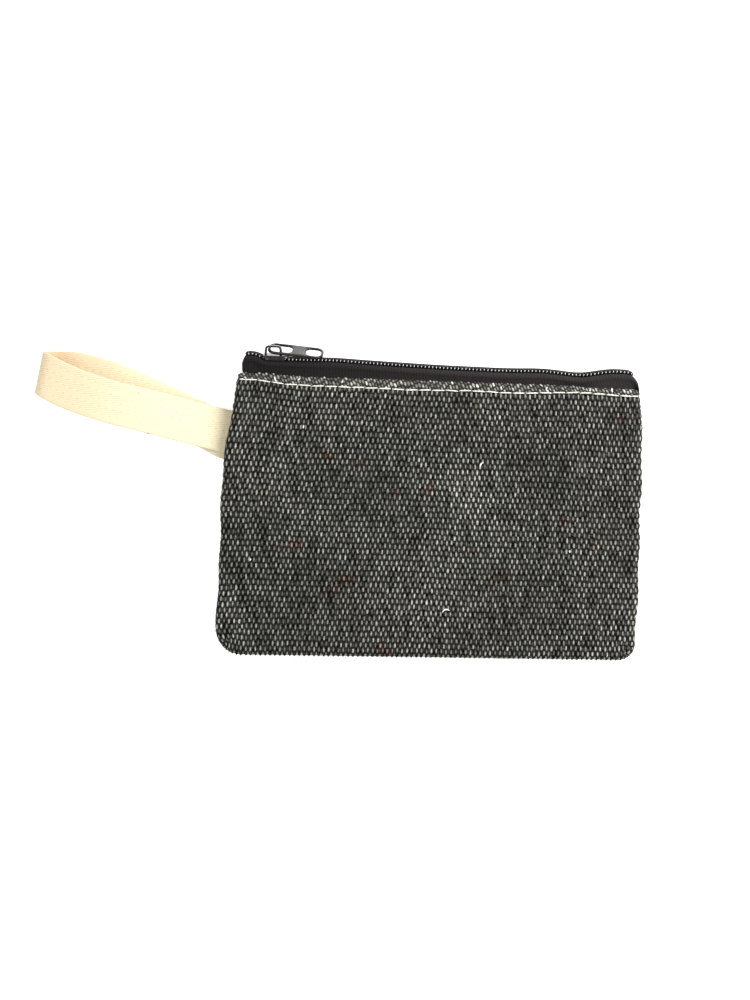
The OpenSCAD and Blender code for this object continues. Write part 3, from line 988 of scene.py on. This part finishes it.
def make_pull_tab(rim, plate):
    u0, v1, long, wide = -0.37, 2.17, 19.3, 7.2
    v0 = v1 - wide
    outer = rounded_box(u0, v0, u0 + long, v1, 2.8)
    near = rounded_box(u0 + 0.95, v0 + 0.95, u0 + 8.4, v1 - 0.95, 1.85)
    far = rounded_box(u0 + 13.2, v0 + 0.95, u0 + long - 0.95, v1 - 0.95, 1.85)
    frame_part = pressed_plate([outer, near[::-1], far[::-1]], -0.45, 0.45, 0.3)
    frame_part.transform(ON_EDGE)
    middle = rounded_box(u0 + 8.9, v0 + 0.75, u0 + 12.7, v1 - 0.75, 0.3)
    panel = pressed_plate([middle], 0.1, 0.5, 0.05)
    panel.transform(ON_EDGE)
    y, z = from_chain(3.66, 0)
    lie = (
        Matrix.Translation((SLIDER_X - SLIDER_TURN_X, y, z))
        @ Matrix.Rotation(CHAIN_ROLL + np.radians(18), 4, "X")
        @ Matrix.Rotation(np.radians(-4), 4, "Y")
        @ Matrix.Rotation(np.radians(-2.4), 4, "Z")
        @ Matrix.Translation((-0.5, 0, 0))
    )
    tab = joined("pull_tab_detailed", [(frame_part, 0), (panel, 1)], [rim, plate], lie)
    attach(tab, "pull")
    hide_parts("pull_tab")


# ---- wrist loop ----

LOOP_PATH = [  # (x, y, z of the tape's middle, heading of its width in degrees)
    (-65.5, 22.4, 3.45, 75), (-72.7, 24.05, 3.45, 75), (-80.0, 25.5, 3.9, 76), (-87.0, 26.9, 4.4, 77),
    (-101.6, 29.9, 5.5, 77), (-112.0, 32.0, 6.2, 76), (-120.5, 34.2, 6.6, 75), (-128.5, 36.8, 6.75, 75),
    (-134.4, 39.4, 6.6, 77), (-137.2, 40.8, 5.6, 80), (-138.4, 41.4, 3.7, 81.5), (-137.4, 41.7, 1.7, 83),
    (-134.2, 41.9, 0.55, 85), (-128.0, 42.0, 0.47, 87), (-121.2, 41.0, 0.47, 79), (-111.7, 38.3, 0.47, 72),
    (-99.0, 33.5, 0.47, 68), (-84.3, 27.3, 0.6, 67), (-77.5, 24.1, 1.5, 68), (-72.7, 21.9, 2.45, 70),
    (-65.5, 19.9, 2.55, 75),
]


def loop_length():
    line = curve_through([p[:3] for p in LOOP_PATH], 900)
    return float(np.linalg.norm(np.diff(line, axis=0), axis=1).sum())


def make_loop(material):
    """The wrist loop: one length of twill tape, folded back on itself and caught in the left seam."""
    rings, across = 430, 68
    line = curve_through(LOOP_PATH, rings)
    centre, heading = line[:, :3], np.radians(line[:, 3])
    width = np.stack([np.cos(heading), np.sin(heading), 0 * heading], axis=1)
    forward = np.gradient(centre, axis=0)
    forward /= np.linalg.norm(forward, axis=1, keepdims=True)
    out = np.cross(forward, width)
    out /= np.linalg.norm(out, axis=1, keepdims=True)
    w = np.linspace(-0.5, 0.5, across)
    edge = np.sqrt(np.clip(1 - (2 * np.abs(w)) ** 14, 0.04, 1))
    travelled = np.linspace(0, loop_length(), rings)[:, None]
    chevron = np.abs(np.mod(w * LOOP_W + 2.5, 5.0) - 2.5)[None, :]
    twill = 0.5 + 0.5 * np.cos(2 * np.pi * (chevron / 0.66 + travelled / 2.6))
    cup = 0.12 * np.sin(travelled / 13) * (2 * w[None, :]) ** 2
    half_t = LOOP_T / 2 * edge[None, :]
    top = cup + half_t + 0.07 * twill * edge
    low = cup - half_t - 0.07 * twill * edge
    base = centre[:, None] + width[:, None] * (w * LOOP_W)[None, :, None]
    upper_face = base + out[:, None] * top[..., None]
    lower_face = base + out[:, None] * low[..., None]
    grid = np.concatenate([upper_face, lower_face[:, ::-1]], axis=1)
    tone = np.concatenate([twill, twill[:, ::-1]], axis=1)
    mesh = grid_mesh("wrist_tape", [grid], [tone], closed=True, caps=True)
    # painted shade: the tape darkens towards the loop's fold at the far left, at half strength on both
    # strands and fully on the lower strand nearest the fold, whose inner face shows there
    inside = smooth(-112, -136, grid[..., 0]) * (np.arange(rings)[:, None] > 0.5 * rings)
    fold_shade = np.maximum(0.5 * smooth(-97, -128, grid[..., 0]), inside)
    set_values(mesh, "fold_shade", [fold_shade])
    tape = new_object("wrist_tape", mesh, material)
    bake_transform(tape)
    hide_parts("wrist_loop", "loop_tail")


make_camera()
make_studio()
canvas = canvas_material()
tape = tape_material()
ivory = thread_material("thread_ivory", (0.70, 0.68, 0.60), (0.85, 0.84, 0.78))
grey = thread_material("thread_grey", (0.45, 0.45, 0.43), (0.72, 0.72, 0.70))
gunmetal = metal_material("gunmetal", (0.008, 0.008, 0.008), (0.018, 0.018, 0.017), 0.17, 0.5)
# painted reflection: the tab's middle plate is the rim's gunmetal, coloured a lighter grey-olive for the
# bright surroundings it reflects
plate_painted_reflection_metal = metal_material("gunmetal_satin_painted_reflection", (0.055, 0.055, 0.046), (0.08, 0.08, 0.068), 0.5, 0.2)
make_canvas(canvas)
make_seams(canvas)
make_topstitch(ivory)
make_slubs(ivory)
make_zipper(tape, coil_material(), grey)
make_zipper_end(-1, "left", tape)
make_zipper_end(1, "right", tape)
make_slider(gunmetal)
make_pull_tab(gunmetal, plate_painted_reflection_metal)
make_loop(twill_material())
